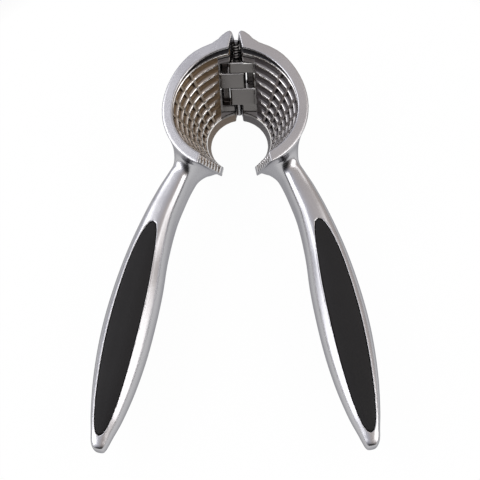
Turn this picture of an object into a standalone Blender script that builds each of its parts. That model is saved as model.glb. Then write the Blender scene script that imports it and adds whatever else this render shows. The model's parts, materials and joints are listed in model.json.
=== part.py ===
# Conical nutcracker: two cast halves of a ribbed cup, each with its handle, that turn on one
# inclined pin. Lengths are metres, +Z is up and the cup's wide mouth looks up.
#
# Shapes are drawn in two frames. The closed frame has both halves shut, the rims' top face at
# z = 0 and the mid plane at x = 0. The hinge frame sits on the pin: X across, Y forwards into the
# cup, Z down along the pin from the level of the rims. The halves rest fully open.

import math

import bmesh
import bpy
from mathutils import Matrix, Vector

# Cup
RIM_RADIUS = 0.0288
RIM_WIDTH = 0.0044
RIM_THICKNESS = 0.0012
RIM_SWELL = 0.0031
MOUTH_SWELL = 0.0013
EDGE_ROUND = 0.0005
CUP_DEPTH = 0.0352
SMALL_END_RADIUS = 0.0111
SMALL_END_WALL = 0.0039
LIP_CHAMFER = 0.0006
BAND_HEIGHT = 0.0045

# Ribs round the inside of the cup, and the cross teeth that tie them together
RIB_COUNT = 8
FIRST_RIB_DEPTH = 0.0025
RIB_CREST_WIDTH = 0.0007
CREST_SPREAD = 0.0008
GROOVE_WIDTH = 0.0023
GROOVE_DEPTH = 0.0017
TOOTH_COUNT = 7
FIRST_TOOTH_ANGLE = math.radians(59.5)
TOOTH_ANGLE_STEP = math.radians(15)
TOOTH_WIDTH = 0.0012
TOOTH_DROP = 0.0002

# Hinge: distances along the pin are counted down from the level of the rims
PIN_TILT = math.radians(29.25)
PIN_SETBACK = 0.0320
HALF_OPEN_ANGLE = math.radians(14.35)
PARTING_GAP = 0.0023
PIN_DIAMETER = 0.0020
PIN_TOP = 0.0044
PIN_LENGTH = 0.0339
RUNNING_CLEARANCE = 0.0003
KNUCKLE_STARTS = (0.0115, 0.0167, 0.0242)
KNUCKLE_SIDES = (1, -1, 1)
KNUCKLES_END = 0.0327
KNUCKLE_RADIUS = 0.0033
KNUCKLE_OVERHANG = 0.0029
POCKET_REACH = 0.0063
POCKET_WALL = 0.0007
FACE_TOP = 0.0050
FACE_BOTTOM = 0.0010
SHOULDER_WIDTH = 0.0021
SHOULDER_RISE = 0.0023
HOUSING_ROUND = 0.0022

# Opening spring round the pin's upper end
WIRE_DIAMETER = 0.0006
SPRING_TURNS = 4
SPRING_PITCH = 0.00118
SPRING_LEG = 0.0036
LEG_LEAN = 0.0001
COIL_POINTS = 10
PIT_CLEARANCE = 0.0005
SEAT_DEPTH = 0.0003

# Horns: the rim's outline where it runs out to the hinge, from the tip to the round rim
HORN_OUTLINE = (
    (0.0010, 0.0309), (0.0016, 0.0318), (0.0025, 0.0322), (0.0037, 0.0314), (0.0051, 0.0298),
    (0.0062, 0.0278), (0.0083, 0.0256), (0.0118, 0.0233), (0.0144, 0.0210), (0.0163, 0.0187),
)
HORN_TIP_POINTS = 7
HORN_INSET = 0.0003

# Handles: distance from the cup's middle, inner side, outer side and thickness
HANDLE_STATIONS = (
    (0.0110, 0.0010, 0.0115, 0.0270),
    (0.0150, 0.0010, 0.0130, 0.0265),
    (0.0190, 0.0037, 0.0142, 0.0199),
    (0.0235, 0.0057, 0.0146, 0.0169),
    (0.0280, 0.0069, 0.0162, 0.0156),
    (0.0340, 0.0079, 0.0184, 0.0149),
    (0.0450, 0.0092, 0.0211, 0.0154),
    (0.0600, 0.0088, 0.0238, 0.0158),
    (0.0750, 0.0073, 0.0253, 0.0164),
    (0.0900, 0.0067, 0.0258, 0.0162),
    (0.1030, 0.0068, 0.0252, 0.0155),
    (0.1160, 0.0078, 0.0237, 0.0136),
    (0.1280, 0.0097, 0.0214, 0.0108),
    (0.1350, 0.0115, 0.0196, 0.0084),
    (0.1395, 0.0126, 0.0184, 0.0064),
    (0.1412, 0.0134, 0.0170, 0.0050),
)
HANDLE_SQUARENESS = 3.2
HANDLE_SIDES = 28
HANDLE_STEP = 0.0080

# Soft inlays: a leaf outline sunk into both faces of each handle
INLAY_START = 0.0494
INLAY_LENGTH = 0.0870
INLAY_WIDTH = 0.0119
INLAY_FULLNESS = 0.42
RECESS_DEPTH = 0.0012
INLAY_GAP = 0.0003
INLAY_POINTS = 16

TURN_STEPS = 64
ROUND_STEPS = 24
OVERRUN = 0.0100

MOUTH_RADIUS = RIM_RADIUS - RIM_WIDTH
SMALL_END_OUTER = SMALL_END_RADIUS + SMALL_END_WALL
CUP_MIDDLE = CUP_DEPTH / 2
LAST_RIB_DEPTH = CUP_DEPTH - BAND_HEIGHT
RIB_PITCH = (LAST_RIB_DEPTH - FIRST_RIB_DEPTH) / (RIB_COUNT - 1)
PIN_RADIUS = PIN_DIAMETER / 2
PIN_AT_SMALL_END = CUP_DEPTH / math.cos(PIN_TILT)
KNUCKLE_ENDS = KNUCKLE_STARTS[1:] + (KNUCKLES_END,)
HINGE_REACH = POCKET_REACH + POCKET_WALL
# The halves' backs meet, but for the clearance, when they are fully open
STOP_WALL = PARTING_GAP / 2 / math.cos(HALF_OPEN_ANGLE) - RUNNING_CLEARANCE / 2
HOUSING_BACK = STOP_WALL / math.tan(HALF_OPEN_ANGLE)
COIL_RADIUS = PIN_RADIUS + RUNNING_CLEARANCE + WIRE_DIAMETER / 2
PIT_FLOOR = KNUCKLE_STARTS[0] + SEAT_DEPTH
COIL_END = PIT_FLOOR - RUNNING_CLEARANCE - WIRE_DIAMETER / 2
COIL_START = COIL_END - (SPRING_TURNS + 0.5) * SPRING_PITCH
PIT_TOP = COIL_START - WIRE_DIAMETER / 2 - PIT_CLEARANCE
PIT_RADIUS = COIL_RADIUS + WIRE_DIAMETER / 2 + PIT_CLEARANCE
SIDE_NAMES = {-1: "left", 1: "right"}
FACE_NAMES = {1: "front", -1: "back"}

CHROME = ((0.62, 0.62, 0.64, 1), 0.28, 1.0)
PIN_STEEL = ((0.55, 0.55, 0.56, 1), 0.22, 1.0)
SPRING_STEEL = ((0.16, 0.15, 0.14, 1), 0.35, 1.0)
BLACK_RUBBER = ((0.020, 0.020, 0.021, 1), 0.72, 0.0)


# Frames

def hinge_frame():
    sine = math.sin(PIN_TILT)
    cosine = math.cos(PIN_TILT)
    return Matrix((
        (1, 0, 0, 0),
        (0, -cosine, -sine, PIN_SETBACK),
        (0, sine, -cosine, 0),
        (0, 0, 0, 1),
    ))


HINGE = hinge_frame()


def opened(side):
    """Turn of one half about the pin, from shut to fully open."""
    return HINGE @ Matrix.Rotation(-side * HALF_OPEN_ANGLE, 4, "Z") @ HINGE.inverted()


def axis_offset(depth):
    """Place across the closed frame of the cup's axis, which is central once the cup is open."""
    forward = PIN_SETBACK * math.cos(PIN_TILT) - depth * math.sin(PIN_TILT)
    return -forward * math.tan(HALF_OPEN_ANGLE)


def cup_lean(side):
    """Lean of an upright turned shape onto the cup's own axis in the closed frame."""
    lean = Matrix.Identity(4)
    lean[0][2] = side * (axis_offset(0) - axis_offset(CUP_DEPTH)) / CUP_DEPTH
    lean[0][3] = side * axis_offset(0)
    return lean


# Objects and booleans

def add_object(name, data):
    added = bpy.data.objects.new(name, data)
    bpy.context.scene.collection.objects.link(added)
    return added


def baked(source):
    """Replace an object by the mesh that its modifiers or its curve make."""
    bpy.context.view_layer.update()
    evaluated = source.evaluated_get(bpy.context.evaluated_depsgraph_get())
    result = add_object(source.name, bpy.data.meshes.new_from_object(evaluated))
    bpy.data.objects.remove(source)
    return result


def welded(source):
    """Close the seams of a mesh, make its faces flat and turn them all outwards."""
    bm = bmesh.new()
    bm.from_mesh(source.data)
    bmesh.ops.remove_doubles(bm, verts=bm.verts, dist=0.000001)
    bmesh.ops.dissolve_limit(bm, verts=bm.verts, edges=bm.edges, angle_limit=0.001)
    bmesh.ops.triangulate(bm, faces=bm.faces)
    bmesh.ops.recalc_face_normals(bm, faces=bm.faces)
    bm.to_mesh(source.data)
    bm.free()
    return source


def placed(source, matrix):
    """Move the mesh itself, so that its object keeps no turn, lean or scale."""
    source.data.transform(matrix)
    source.data.update()
    return source


def combined(target, tool, operation):
    boolean = target.modifiers.new("boolean", "BOOLEAN")
    boolean.operation = operation
    boolean.solver = "EXACT"
    boolean.object = tool
    result = welded(baked(target))
    bpy.data.objects.remove(tool)
    return result


def fused(target, tool):
    return combined(target, tool, "UNION")


def cut(target, tool):
    return combined(target, tool, "DIFFERENCE")


def common(target, tool):
    return combined(target, tool, "INTERSECT")


def bevelled(source, width, segments):
    bevel = source.modifiers.new("bevel", "BEVEL")
    bevel.width = width
    bevel.segments = segments
    bevel.limit_method = "ANGLE"
    bevel.angle_limit = math.radians(60)
    return baked(source)


# Basic forms

def box(name, low, high):
    bm = bmesh.new()
    bmesh.ops.create_cube(bm, size=1)
    bmesh.ops.scale(bm, vec=Vector(high) - Vector(low), verts=bm.verts)
    bmesh.ops.translate(bm, vec=(Vector(low) + Vector(high)) / 2, verts=bm.verts)
    mesh = bpy.data.meshes.new(name)
    bm.to_mesh(mesh)
    bm.free()
    return add_object(name, mesh)


def rod(name, radius, low, high):
    """Round bar along Z."""
    bm = bmesh.new()
    bmesh.ops.create_cone(bm, cap_ends=True, segments=ROUND_STEPS, radius1=radius,
                          radius2=radius, depth=high - low)
    bmesh.ops.translate(bm, vec=(0, 0, (low + high) / 2), verts=bm.verts)
    mesh = bpy.data.meshes.new(name)
    bm.to_mesh(mesh)
    bm.free()
    return add_object(name, mesh)


def turned(name, profile):
    """Solid of revolution about Z. The profile runs from the axis down the outer side and back."""
    mesh = bpy.data.meshes.new(name)
    points = [(radius, 0, height) for radius, height in profile]
    mesh.from_pydata(points, [(index, index + 1) for index in range(len(points) - 1)], [])
    wheel = add_object(name, mesh)
    screw = wheel.modifiers.new("screw", "SCREW")
    screw.steps = TURN_STEPS
    screw.render_steps = TURN_STEPS
    screw.use_merge_vertices = True
    screw.merge_threshold = 0.00001
    return welded(baked(wheel))


def lofted(name, rings):
    """Skin over rings with the same number of points, closed by a cap at each end."""
    bm = bmesh.new()
    rows = [[bm.verts.new(point) for point in ring] for ring in rings]
    count = len(rows[0])
    for lower, upper in zip(rows, rows[1:]):
        for index in range(count):
            after = (index + 1) % count
            bm.faces.new((lower[index], lower[after], upper[after], upper[index]))
    bmesh.ops.triangulate(bm, faces=bm.faces)
    bm.faces.new(rows[0])
    bm.faces.new(rows[-1])
    bmesh.ops.recalc_face_normals(bm, faces=bm.faces)
    mesh = bpy.data.meshes.new(name)
    bm.to_mesh(mesh)
    bm.free()
    return add_object(name, mesh)


def plate(name, outline, bottom, top):
    """Flat outline filled and raised between two heights."""
    sheet = bpy.data.curves.new(name, "CURVE")
    sheet.dimensions = "2D"
    sheet.fill_mode = "BOTH"
    sheet.extrude = (top - bottom) / 2
    spline = sheet.splines.new("POLY")
    spline.use_cyclic_u = True
    spline.points.add(len(outline) - 1)
    for spot, (x, y) in zip(spline.points, outline):
        spot.co = (x, y, 0, 1)
    solid = welded(baked(add_object(name, sheet)))
    return placed(solid, Matrix.Translation((0, 0, (bottom + top) / 2)))


def arc(centre, radius, start, end):
    """Points of an arc about a centre on the X axis, about as fine as the turned shapes."""
    count = max(2, round(abs(end - start) / (2 * math.pi) * TURN_STEPS))
    angles = [start + (end - start) * index / count for index in range(count + 1)]
    return [(centre + radius * math.cos(angle), radius * math.sin(angle)) for angle in angles]


def mirrored(outline, side):
    return [(side * x, y) for x, y in outline]


# Cup: outside, ribbed inside, and the rim with its horn

def inner_radius(depth):
    """Radius at the crests of the ribs, at a depth below the rim's top."""
    top = MOUTH_RADIUS + CREST_SPREAD
    return top + (SMALL_END_RADIUS - top) * depth / CUP_DEPTH


def outer_radius(depth):
    top = RIM_RADIUS - EDGE_ROUND
    return top + (SMALL_END_OUTER - top) * depth / CUP_DEPTH


def cup_outside():
    high = RIM_THICKNESS
    low = CUP_DEPTH + OVERRUN
    return turned("cup_outside", [
        (0, high), (outer_radius(-high), high), (outer_radius(low), -low), (0, -low),
    ])


def inside_profile():
    """From the mouth down: a groove above each crest, and from the last crest a smooth band."""
    flank = (RIB_PITCH - RIB_CREST_WIDTH - GROOVE_WIDTH) / 2
    first = FIRST_RIB_DEPTH - RIB_CREST_WIDTH / 2 - flank
    points = [(0, -OVERRUN), (inner_radius(first) + GROOVE_DEPTH, -OVERRUN)]
    for index in range(RIB_COUNT):
        crest = FIRST_RIB_DEPTH + index * RIB_PITCH
        top = crest - RIB_CREST_WIDTH / 2
        bottom = crest + RIB_CREST_WIDTH / 2
        if index:
            groove_top = top - flank - GROOVE_WIDTH
            points.append((inner_radius(groove_top) + GROOVE_DEPTH, groove_top))
        groove_bottom = top - flank
        points.append((inner_radius(groove_bottom) + GROOVE_DEPTH, groove_bottom))
        points.append((inner_radius(top), top))
        points.append((inner_radius(bottom), bottom))
    lip = CUP_DEPTH - LIP_CHAMFER
    low = CUP_DEPTH + 2 * OVERRUN
    wide = inner_radius(lip) + 2 * LIP_CHAMFER
    points += [(inner_radius(lip), lip), (wide, lip + 2 * LIP_CHAMFER), (wide, low), (0, low)]
    return [(radius, -depth) for radius, depth in points]


def cross_tooth(side, angle):
    """Bar down the slope of the cup across the ribs, level with their crests."""
    rings = []
    for depth in (FIRST_RIB_DEPTH, LAST_RIB_DEPTH):
        crest = inner_radius(depth) + TOOTH_DROP
        rings.append([
            (crest, -TOOTH_WIDTH / 2, -depth),
            (crest + OVERRUN, -TOOTH_WIDTH / 2, -depth),
            (crest + OVERRUN, TOOTH_WIDTH / 2, -depth),
            (crest, TOOTH_WIDTH / 2, -depth),
        ])
    return placed(lofted("cross_tooth", rings),
                  Matrix.Rotation(math.pi / 2 - side * angle, 4, "Z"))


def cup_inside(side):
    hollow = turned("cup_inside", inside_profile())
    for index in range(TOOTH_COUNT):
        tooth = cross_tooth(side, FIRST_TOOTH_ANGLE + index * TOOTH_ANGLE_STEP)
        hollow = cut(hollow, tooth)
    return hollow


def swollen_arc(centre, radius, swell, start, end):
    """Arc about a centre on the X axis, that grows by the swell towards the hinge."""
    edge = []
    for x, y in arc(centre, radius, start, end):
        growth = 1 + swell / radius * (max(0, y) / radius) ** 2
        edge.append((centre + (x - centre) * growth, y * growth))
    return edge


def rim(side):
    """Flat ring of the rim with its horn, in the closed frame, a little past the mid plane."""
    centre = axis_offset(0)
    join = HORN_OUTLINE[-1]
    meet = math.atan2(join[1], join[0] - centre) - 2 * math.pi / TURN_STEPS
    outline = [(centre, HORN_OUTLINE[0][1])] + list(HORN_OUTLINE)
    outline += swollen_arc(centre, RIM_RADIUS, RIM_SWELL, meet, -math.pi / 2)
    outline += swollen_arc(centre, MOUTH_RADIUS, MOUTH_SWELL, -math.pi / 2, math.pi / 2)
    ring = plate("rim", mirrored(outline, side), -RIM_THICKNESS, 0)
    return bevelled(ring, EDGE_ROUND, 2)


def horn_housing(side):
    """Metal under the horn, down to the top knuckle and back to the hinge's back."""
    horn = [(x - HORN_INSET, y - HORN_INSET) for x, y in HORN_OUTLINE[:HORN_TIP_POINTS]]
    inside = MOUTH_RADIUS / 2
    outline = [(0, horn[0][1])] + horn + [(horn[-1][0], inside), (0, inside)]
    block = plate("horn_housing", mirrored(outline, side), -CUP_MIDDLE, 2 * RIM_THICKNESS)
    reach = 2 * MOUTH_RADIUS
    back = SEAT_DEPTH / 3 - HOUSING_BACK
    limit = box("horn_limit", (-reach, back, -reach),
                (reach, reach, KNUCKLE_STARTS[0] + KNUCKLE_RADIUS))
    return common(block, placed(limit, opened(side).inverted() @ HINGE))


# Hinge: housing, blocks, knuckles, and the pockets that they turn in

def face_forward(along):
    """How far the hinge's flat front stands before the pin's axis."""
    share = (along - KNUCKLE_STARTS[0]) / (PIN_AT_SMALL_END - KNUCKLE_STARTS[0])
    return FACE_TOP + (FACE_BOTTOM - FACE_TOP) * share


def hinge_prism(name, outline_at, start, end):
    """Prism along the pin, whose outline depends on the distance down the pin."""
    rings = [[(x, y, along) for x, y in outline_at(along)] for along in (start, end)]
    return placed(lofted(name, rings), HINGE)


def hinge_housing():
    edge = HINGE_REACH + 2 * SEAT_DEPTH
    low = (-edge, -HOUSING_BACK, KNUCKLE_STARTS[0])
    high = (edge, FACE_BOTTOM, PIN_AT_SMALL_END + OVERRUN)
    return placed(bevelled(box("hinge_housing", low, high), HOUSING_ROUND, 3), HINGE)


def hinge_channel():
    """Clears the ribs away before the hinge's flat faces, with rounded shoulders at their ends.

    It stops at the last rib, so that the smooth band runs on below the hinge.
    """
    def outline_at(along):
        floor = face_forward(along) - SEAT_DEPTH
        flank = [(HINGE_REACH, floor)]
        flank.append((HINGE_REACH + SHOULDER_WIDTH / 4, floor + SHOULDER_RISE / 2))
        flank.append((HINGE_REACH + SHOULDER_WIDTH, floor + SHOULDER_RISE))
        flank.append((HINGE_REACH + SHOULDER_WIDTH, floor + 2 * OVERRUN))
        return flank + mirrored(flank[::-1], -1)
    return hinge_prism("hinge_channel", outline_at, KNUCKLE_STARTS[0],
                       LAST_RIB_DEPTH / math.cos(PIN_TILT))


def hinge_block(side):
    """Solid that carries this half's knuckles."""
    def outline_at(along):
        front = face_forward(along)
        edge = HINGE_REACH + SEAT_DEPTH
        return mirrored(((0, -PIN_RADIUS), (edge, -PIN_RADIUS), (edge, front), (0, front)), side)
    return hinge_prism("hinge_block", outline_at, KNUCKLE_STARTS[0] + SEAT_DEPTH / 2,
                       PIN_AT_SMALL_END + OVERRUN / 2)


def knuckle(side, start, end):
    """Barrel round the pin with a flat front, on an arm from its own half."""
    def outline_at(along):
        front = face_forward(along) + SEAT_DEPTH / 3
        turns = [math.radians(step) for step in range(0, 91, 15)]
        barrel = [(-KNUCKLE_RADIUS * math.cos(turn), -KNUCKLE_RADIUS * math.sin(turn))
                  for turn in turns]
        root = POCKET_REACH + SEAT_DEPTH
        arm = [(root, -KNUCKLE_RADIUS), (root, front)]
        return mirrored([(-KNUCKLE_OVERHANG, front)] + barrel + arm, side)
    return hinge_prism("knuckle", outline_at, start, end)


def knuckle_pocket(side, start, end):
    """Room in this half for a knuckle of the other one, open to the mid plane and the back."""
    neck = KNUCKLE_RADIUS + RUNNING_CLEARANCE
    step = -KNUCKLE_RADIUS / 3

    def outline_at(along):
        front = face_forward(along) + OVERRUN
        return mirrored(((-OVERRUN, -OVERRUN), (neck, -OVERRUN), (neck, step),
                         (POCKET_REACH, step), (POCKET_REACH, front), (-OVERRUN, front)), side)
    return hinge_prism("knuckle_pocket", outline_at, start, end)


def leg_groove(side):
    """Groove in the parting wall that the spring's leg on this side lies in."""
    level = COIL_START if side > 0 else COIL_END
    half_height = WIRE_DIAMETER / 2 + RUNNING_CLEARANCE
    depth = COIL_RADIUS + half_height
    groove = box("leg_groove", (min(0, side * depth), 0, level - half_height),
                 (max(0, side * depth), SPRING_LEG + half_height, level + half_height))
    return placed(groove, HINGE)


# Handles and inlays

def smooth_stations():
    """The handle's stations with smooth steps between them."""
    last = len(HANDLE_STATIONS) - 1
    slopes = []
    for index in range(last + 1):
        before = HANDLE_STATIONS[max(index - 1, 0)]
        after = HANDLE_STATIONS[min(index + 1, last)]
        slopes.append([(b - a) / (after[0] - before[0]) for a, b in zip(before, after)])
    rows = []
    for index in range(last):
        lower, upper = HANDLE_STATIONS[index], HANDLE_STATIONS[index + 1]
        gap = upper[0] - lower[0]
        count = max(1, round(gap / HANDLE_STEP))
        for step in range(count):
            rows.append(hermite(lower, upper, slopes[index], slopes[index + 1], step / count))
    rows.append(HANDLE_STATIONS[last])
    return rows


def hermite(lower, upper, slope_lower, slope_upper, share):
    gap = upper[0] - lower[0]
    start = 2 * share ** 3 - 3 * share ** 2 + 1
    leave = (share ** 3 - 2 * share ** 2 + share) * gap
    arrive = (share ** 3 - share ** 2) * gap
    return [start * a + (1 - start) * b + leave * u + arrive * v
            for a, b, u, v in zip(lower, upper, slope_lower, slope_upper)]


def rounded_power(value, power):
    return math.copysign(abs(value) ** power, value)


def handle_solid(side, face_inset=0.0, side_inset=0.0):
    """Skin over rounded square sections, from inside the cup's wall to the blunt end."""
    power = 2 / HANDLE_SQUARENESS
    rings = []
    for reach, inner, outer, thickness in smooth_stations():
        middle = (inner + outer) / 2
        half_width = (outer - inner) / 2 - side_inset
        half_thickness = thickness / 2 - face_inset
        ring = []
        for index in range(HANDLE_SIDES):
            turn = 2 * math.pi * index / HANDLE_SIDES
            ring.append((side * (middle + half_width * rounded_power(math.cos(turn), power)),
                         -reach,
                         half_thickness * rounded_power(math.sin(turn), power) - CUP_MIDDLE))
        rings.append(ring)
    return lofted("handle", rings)


def handle_middle(reach):
    rows = smooth_stations()
    for lower, upper in zip(rows, rows[1:]):
        if reach <= upper[0]:
            share = (reach - lower[0]) / (upper[0] - lower[0])
            middles = [(row[1] + row[2]) / 2 for row in (lower, upper)]
            return middles[0] + (middles[1] - middles[0]) * share
    return (rows[-1][1] + rows[-1][2]) / 2


def leaf_outline(inset):
    """Leaf along the handle's middle line, widest in its middle."""
    start = INLAY_START + inset
    length = INLAY_LENGTH - 2 * inset
    edges = []
    for index in range(INLAY_POINTS + 1):
        share = (1 - math.cos(math.pi * index / INLAY_POINTS)) / 2
        width = (INLAY_WIDTH / 2 - inset) * max(0, math.sin(math.pi * share)) ** INLAY_FULLNESS
        edges.append((start + length * share, width))
    outline = [(handle_middle(reach) + width, -reach) for reach, width in edges]
    outline += [(handle_middle(reach) - width, -reach) for reach, width in edges[-2:0:-1]]
    return outline


def leaf_prism(side, face, inset):
    reach = face * OVERRUN * 2
    low, high = sorted((-CUP_MIDDLE, -CUP_MIDDLE + reach))
    return plate("leaf", mirrored(leaf_outline(inset), side), low, high)


def recess(side, face):
    """Room for an inlay: the leaf down to a floor that follows the handle's crown."""
    floor = handle_solid(side, RECESS_DEPTH, -RECESS_DEPTH)
    return cut(leaf_prism(side, face, 0), floor)


def inlay(side, face):
    leaf = common(leaf_prism(side, face, INLAY_GAP), handle_solid(side))
    floor = handle_solid(side, RECESS_DEPTH - INLAY_GAP, -RECESS_DEPTH)
    return placed(cut(leaf, floor), opened(side))


# Whole pieces

def casting(side):
    """One half: cup wall, rim, horn, hinge knuckles and handle in a single casting."""
    turn = opened(side)
    body = placed(cup_outside(), turn @ cup_lean(side))
    body = fused(body, placed(handle_solid(side), turn))
    body = fused(body, placed(horn_housing(side), turn))
    body = fused(body, hinge_housing())
    body = cut(body, placed(cup_inside(side), turn @ cup_lean(side)))
    body = cut(body, hinge_channel())
    body = fused(body, hinge_block(side))
    reach = 2 * HANDLE_STATIONS[-1][0]
    slab = box("slab", (-reach, -reach, -CUP_DEPTH), (reach, reach, -RIM_THICKNESS / 2))
    body = common(body, placed(slab, turn))
    body = fused(body, placed(rim(side), turn))
    across = sorted((-side * reach, side * PARTING_GAP / 2))
    other_half = box("other_half", (across[0], -reach, -reach), (across[1], reach, reach))
    body = cut(body, placed(other_half, turn))
    spans = list(zip(KNUCKLE_SIDES, KNUCKLE_STARTS, KNUCKLE_ENDS))
    shorter = 0.4 * RUNNING_CLEARANCE
    for owner, start, end in spans:
        if owner == side:
            body = fused(body, knuckle(side, start + shorter, end - shorter))
    for owner, start, end in spans:
        if owner != side:
            pocket = knuckle_pocket(side, start - RUNNING_CLEARANCE / 2,
                                    end + RUNNING_CLEARANCE / 2)
            body = cut(body, pocket)
    body = cut(body, placed(rod("pit", PIT_RADIUS, PIT_TOP, PIT_FLOOR), HINGE))
    body = cut(body, leg_groove(side))
    bore = rod("bore", PIN_RADIUS + RUNNING_CLEARANCE, PIN_TOP - RUNNING_CLEARANCE,
               PIN_AT_SMALL_END + 2 * OVERRUN)
    body = cut(body, placed(bore, HINGE))
    for face in (1, -1):
        body = cut(body, placed(recess(side, face), turn))
    return body


def hinge_pin():
    pin = rod("hinge_pin", PIN_RADIUS, PIN_TOP, PIN_TOP + PIN_LENGTH)
    return placed(bevelled(pin, PIN_RADIUS / 4, 2), HINGE)


def spring_points():
    """Centre line of the wire in the hinge frame: leg, coils, leg."""
    tip = COIL_RADIUS - LEG_LEAN
    points = [Vector((tip, SPRING_LEG, COIL_START))]
    turns = SPRING_TURNS + 0.5
    steps = round(turns * COIL_POINTS)
    for index in range(steps + 1):
        turn = -2 * math.pi * turns * index / steps
        along = COIL_START + (COIL_END - COIL_START) * index / steps
        points.append(Vector((COIL_RADIUS * math.cos(turn), COIL_RADIUS * math.sin(turn), along)))
    points.append(Vector((-tip, SPRING_LEG, COIL_END)))
    return points


def least_coil_gap(points):
    """Least space between two turns of the wire, measured on its own points."""
    coils = points[1:-1]
    gaps = [(one - other).length - WIRE_DIAMETER
            for index, one in enumerate(coils) for other in coils[index + COIL_POINTS // 2:]]
    return min(gaps)


def opening_spring():
    points = spring_points()
    print("least gap between coils, mm:", round(1000 * least_coil_gap(points), 3))
    wire = bpy.data.curves.new("opening_spring", "CURVE")
    wire.dimensions = "3D"
    wire.bevel_depth = WIRE_DIAMETER / 2
    wire.bevel_resolution = 1
    wire.use_fill_caps = True
    spline = wire.splines.new("POLY")
    spline.points.add(len(points) - 1)
    for spot, place in zip(spline.points, points):
        spot.co = (*place, 1)
    return placed(welded(baked(add_object("opening_spring", wire))), HINGE)


# Finish: names, materials, collections and origins

def material(name, look):
    colour, roughness, metallic = look
    made = bpy.data.materials.new(name)
    made.use_nodes = True
    made.diffuse_color = colour
    shader = made.node_tree.nodes["Principled BSDF"]
    shader.inputs["Base Color"].default_value = colour
    shader.inputs["Roughness"].default_value = roughness
    shader.inputs["Metallic"].default_value = metallic
    return made


def finished(piece, name, look, collection, origin):
    """Give a piece its name and material, and its object the given place and turn."""
    piece.name = name
    piece.data.name = name
    welded(piece)
    piece.data.materials.clear()
    piece.data.materials.append(material(name, look))
    piece.data.shade_smooth()
    piece.data.set_sharp_from_angle(angle=math.radians(32))
    piece.data.transform(origin.inverted())
    piece.matrix_world = origin
    bpy.context.scene.collection.objects.unlink(piece)
    collection.objects.link(piece)
    return piece


def main():
    for old in list(bpy.data.objects):
        bpy.data.objects.remove(old)
    nutcracker = bpy.data.collections.new("conical_nutcracker")
    bpy.context.scene.collection.children.link(nutcracker)

    pieces = [(hinge_pin(), "hinge_pin", PIN_STEEL)]
    pieces.append((opening_spring(), "opening_spring", SPRING_STEEL))
    for side, side_name in SIDE_NAMES.items():
        pieces.append((casting(side), side_name + "_casting", CHROME))
        for face, face_name in FACE_NAMES.items():
            pieces.append((inlay(side, face), side_name + "_inlay_" + face_name, BLACK_RUBBER))

    corners = [vertex.co for piece, _, _ in pieces for vertex in piece.data.vertices]
    low = Vector([min(corner[axis] for corner in corners) for axis in range(3)])
    high = Vector([max(corner[axis] for corner in corners) for axis in range(3)])
    base = Matrix.Translation((-(low.x + high.x) / 2, -(low.y + high.y) / 2, -low.z))
    pin_place = base @ HINGE
    for piece, name, look in pieces:
        finished(placed(piece, base), name, look, nutcracker, pin_place)

    print("size, mm:", [round(1000 * length, 2) for length in high - low])
    print("cup's middle, m:", [round(value, 6) for value in base.translation])
    print("pin's place, m:", [round(value, 6) for value in pin_place.translation])
    print("pin's direction:", [round(value, 6) for value in pin_place.col[2].xyz])


main()
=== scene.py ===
import json
import math

import bmesh
import bpy
import numpy as np
from mathutils import Matrix, Vector


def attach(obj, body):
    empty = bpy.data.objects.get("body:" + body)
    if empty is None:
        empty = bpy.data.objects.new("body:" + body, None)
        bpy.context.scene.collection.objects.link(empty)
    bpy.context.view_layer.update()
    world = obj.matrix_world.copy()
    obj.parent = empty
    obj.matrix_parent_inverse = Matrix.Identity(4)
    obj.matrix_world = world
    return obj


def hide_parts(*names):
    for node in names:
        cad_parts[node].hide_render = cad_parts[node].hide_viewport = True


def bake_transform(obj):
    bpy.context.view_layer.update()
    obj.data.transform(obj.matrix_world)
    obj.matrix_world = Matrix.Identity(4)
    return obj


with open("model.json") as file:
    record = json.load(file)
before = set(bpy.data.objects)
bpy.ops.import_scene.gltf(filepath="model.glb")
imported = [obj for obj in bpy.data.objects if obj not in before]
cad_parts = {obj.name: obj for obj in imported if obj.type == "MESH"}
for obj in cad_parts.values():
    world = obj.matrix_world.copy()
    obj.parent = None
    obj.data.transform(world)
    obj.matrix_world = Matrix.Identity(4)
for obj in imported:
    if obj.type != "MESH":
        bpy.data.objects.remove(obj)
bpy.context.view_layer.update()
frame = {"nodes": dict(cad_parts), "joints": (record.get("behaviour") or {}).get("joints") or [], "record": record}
print("frame loaded:", sorted(frame["nodes"]))

# the pin's own frame: X across, Y forwards into the cup, Z down along the pin
hingeJoint = frame["joints"][0]
pinTop = Vector(hingeJoint["pos_m"])
pinDown = Vector(hingeJoint["axis"]).normalized()
across = Vector((1, 0, 0))
pinFrame = Matrix.Translation(pinTop) @ Matrix((across, pinDown.cross(across), pinDown)).transposed().to_4x4()


# small helpers for node trees

def addNode(tree, kind, x=0, y=0, **settings):
    node = tree.nodes.new(kind)
    node.location = (x, y)
    for key, value in settings.items():
        setattr(node, key, value)
    return node


def join(tree, source, target):
    tree.links.new(source, target)


def newGroup(name, inputs, outputs, kind="ShaderNodeTree"):
    group = bpy.data.node_groups.new(name, kind)
    for label, socketKind, value in inputs:
        socket = group.interface.new_socket(label, in_out="INPUT", socket_type=socketKind)
        if value is not None:
            socket.default_value = value
    for label, socketKind in outputs:
        group.interface.new_socket(label, in_out="OUTPUT", socket_type=socketKind)
    return group


def maths(tree, operation, a, b=None, x=0, y=0):
    node = addNode(tree, "ShaderNodeMath", x, y, operation=operation)
    for index, value in enumerate((a, b)):
        if value is None:
            continue
        if isinstance(value, (int, float)):
            node.inputs[index].default_value = value
        else:
            join(tree, value, node.inputs[index])
    return node.outputs[0]


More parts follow.
